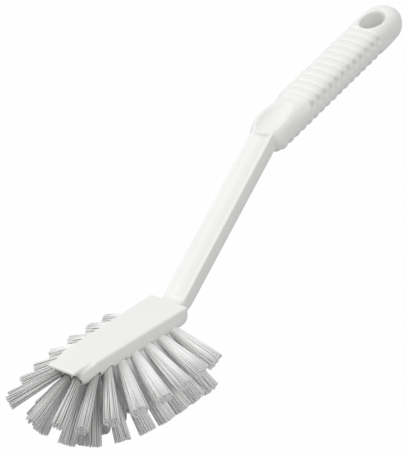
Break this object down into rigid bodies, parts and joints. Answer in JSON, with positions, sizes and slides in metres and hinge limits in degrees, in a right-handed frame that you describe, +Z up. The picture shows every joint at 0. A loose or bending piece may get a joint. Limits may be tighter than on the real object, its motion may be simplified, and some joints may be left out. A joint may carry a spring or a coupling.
{
  "type": "pot brush",
  "caption": "White moulded pot brush with a slim flat-topped head, a scraper lip, radiating bristle tufts, a rising neck and a ribbed grip with a thumb dish and a hang hole.",
  "frame": {"origin": "middle of the underside of the brush's box, on the surface under the tips of the longest tufts", "axes": "+X along the brush from the head towards the hang hole, +Y across the head, +Z up out of the flat top of the head"},
  "size_m": [0.2714, 0.067, 0.1258],
  "materials": {
    "white_polypropylene": "satin moulded",
    "white_bristle": "drawn filament, satin",
    "staple_steel": "cut strip"
  },
  "bodies": {
    "root": {"handle": "white_polypropylene", "bristles_rear": "white_bristle", "bristles_middle": "white_bristle", "bristles_front": "white_bristle", "staple_plate_01": "staple_steel", "staple_plate_02": "staple_steel", "staple_plate_03": "staple_steel", "staple_plate_04": "staple_steel", "staple_plate_05": "staple_steel", "staple_plate_06": "staple_steel", "staple_plate_07": "staple_steel", "staple_plate_08": "staple_steel", "staple_plate_09": "staple_steel", "staple_plate_10": "staple_steel", "staple_plate_11": "staple_steel", "staple_plate_12": "staple_steel", "staple_plate_13": "staple_steel", "staple_plate_14": "staple_steel", "staple_plate_15": "staple_steel", "staple_plate_16": "staple_steel", "staple_plate_17": "staple_steel", "staple_plate_18": "staple_steel", "staple_plate_19": "staple_steel", "staple_plate_20": "staple_steel", "staple_plate_21": "staple_steel", "staple_plate_22": "staple_steel", "staple_plate_23": "staple_steel", "staple_plate_24": "staple_steel", "staple_plate_25": "staple_steel", "staple_plate_26": "staple_steel", "staple_plate_27": "staple_steel", "staple_plate_28": "staple_steel", "staple_plate_29": "staple_steel", "staple_plate_30": "staple_steel", "staple_plate_31": "staple_steel", "staple_plate_32": "staple_steel", "staple_plate_33": "staple_steel", "staple_plate_34": "staple_steel", "staple_plate_35": "staple_steel", "staple_plate_36": "staple_steel", "staple_plate_37": "staple_steel", "staple_plate_38": "staple_steel", "staple_plate_39": "staple_steel"}
  },
  "joints": []
}
